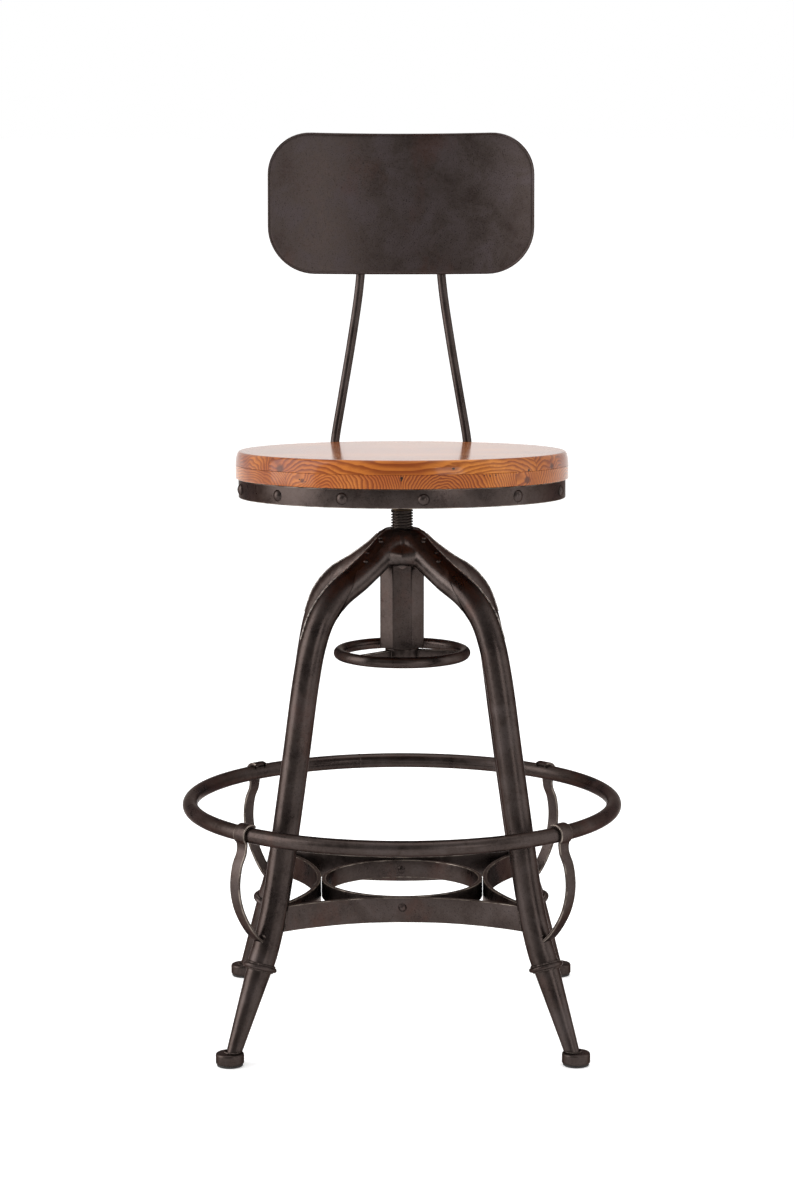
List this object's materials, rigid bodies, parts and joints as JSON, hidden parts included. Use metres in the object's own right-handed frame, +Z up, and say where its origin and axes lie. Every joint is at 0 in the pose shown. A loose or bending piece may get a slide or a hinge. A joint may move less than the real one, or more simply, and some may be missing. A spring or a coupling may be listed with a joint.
{
  "type": "bar stool",
  "caption": "Bar stool with a round wooden seat, low steel backrest, splayed tubular legs, ring footrest and a screw lift worked by a handwheel.",
  "frame": {"origin": "on the floor, under the centre of the column", "axes": "+Z up, -Y towards the front of the stool, +X to the sitter's left and the viewer's right"},
  "size_m": [0.48, 0.48, 0.9685],
  "materials": {
    "bronzed_steel": "satin dark bronze-brown, slightly mottled and rubbed at the edges",
    "dark_screw_steel": "satin, dark oiled thread",
    "bearing_bronze": "satin",
    "lacquered_pine": "glossy orange-brown lacquer over visible grain"
  },
  "bodies": {
    "frame": {"leg_upper_front_right": "bronzed_steel", "leg_collar_front_right": "bronzed_steel", "leg_lower_front_right": "bronzed_steel", "foot_front_right": "bronzed_steel", "footrest_strap_front_right": "bronzed_steel", "leg_upper_rear_right": "bronzed_steel", "leg_collar_rear_right": "bronzed_steel", "leg_lower_rear_right": "bronzed_steel", "foot_rear_right": "bronzed_steel", "footrest_strap_rear_right": "bronzed_steel", "leg_upper_rear_left": "bronzed_steel", "leg_collar_rear_left": "bronzed_steel", "leg_lower_rear_left": "bronzed_steel", "foot_rear_left": "bronzed_steel", "footrest_strap_rear_left": "bronzed_steel", "leg_upper_front_left": "bronzed_steel", "leg_collar_front_left": "bronzed_steel", "leg_lower_front_left": "bronzed_steel", "foot_front_left": "bronzed_steel", "footrest_strap_front_left": "bronzed_steel", "stretcher_right": "bronzed_steel", "brace_rivet_right": "bronzed_steel", "stretcher_rear": "bronzed_steel", "brace_rivet_rear": "bronzed_steel", "stretcher_left": "bronzed_steel", "brace_rivet_left": "bronzed_steel", "stretcher_front": "bronzed_steel", "brace_rivet_front": "bronzed_steel", "footrest_ring": "bronzed_steel", "brace_ring": "bronzed_steel", "column": "bronzed_steel", "hub_cap": "bronzed_steel", "spindle_key": "dark_screw_steel", "thrust_washer": "bearing_bronze"},
    "screw": {"spindle": "dark_screw_steel", "swivel_washer": "bearing_bronze", "swivel_nut": "dark_screw_steel"},
    "handwheel": {"drive_nut": "dark_screw_steel", "handwheel_spider": "bronzed_steel", "handwheel_rim": "bronzed_steel"},
    "seat": {"swivel_boss": "bronzed_steel", "seat_cross": "bronzed_steel", "seat_band": "bronzed_steel", "seat_lower_board": "lacquered_pine", "seat_upper_board": "lacquered_pine", "band_rivet_1": "bronzed_steel", "band_rivet_2": "bronzed_steel", "band_rivet_3": "bronzed_steel", "band_rivet_4": "bronzed_steel", "band_rivet_5": "bronzed_steel", "band_rivet_6": "bronzed_steel", "band_rivet_7": "bronzed_steel", "band_rivet_8": "bronzed_steel", "band_rivet_9": "bronzed_steel", "band_rivet_10": "bronzed_steel", "band_rivet_11": "bronzed_steel", "band_rivet_12": "bronzed_steel", "backrest_plate": "bronzed_steel", "backrest_rod_right": "bronzed_steel", "backrest_rod_left": "bronzed_steel"}
  },
  "joints": [
    {"name": "seat_lift", "type": "slide", "parent": "frame", "child": "screw", "axis": [0, 0, 1], "range_m": [-0.015, 0.084]},
    {"name": "handwheel_turn", "type": "hinge", "parent": "frame", "child": "handwheel", "pos_m": [0, 0, 0.4097], "axis": [0, 0, 1], "range_deg": [-10080, 1800]},
    {"name": "seat_swivel", "type": "hinge", "parent": "screw", "child": "seat", "pos_m": [0, 0, 0.58], "axis": [0, 0, 1], "continuous": true}
  ],
  "couplings": [
    {"joint": "handwheel_turn", "follows": "seat_lift", "rad_per_m": -2094.4}
  ]
}
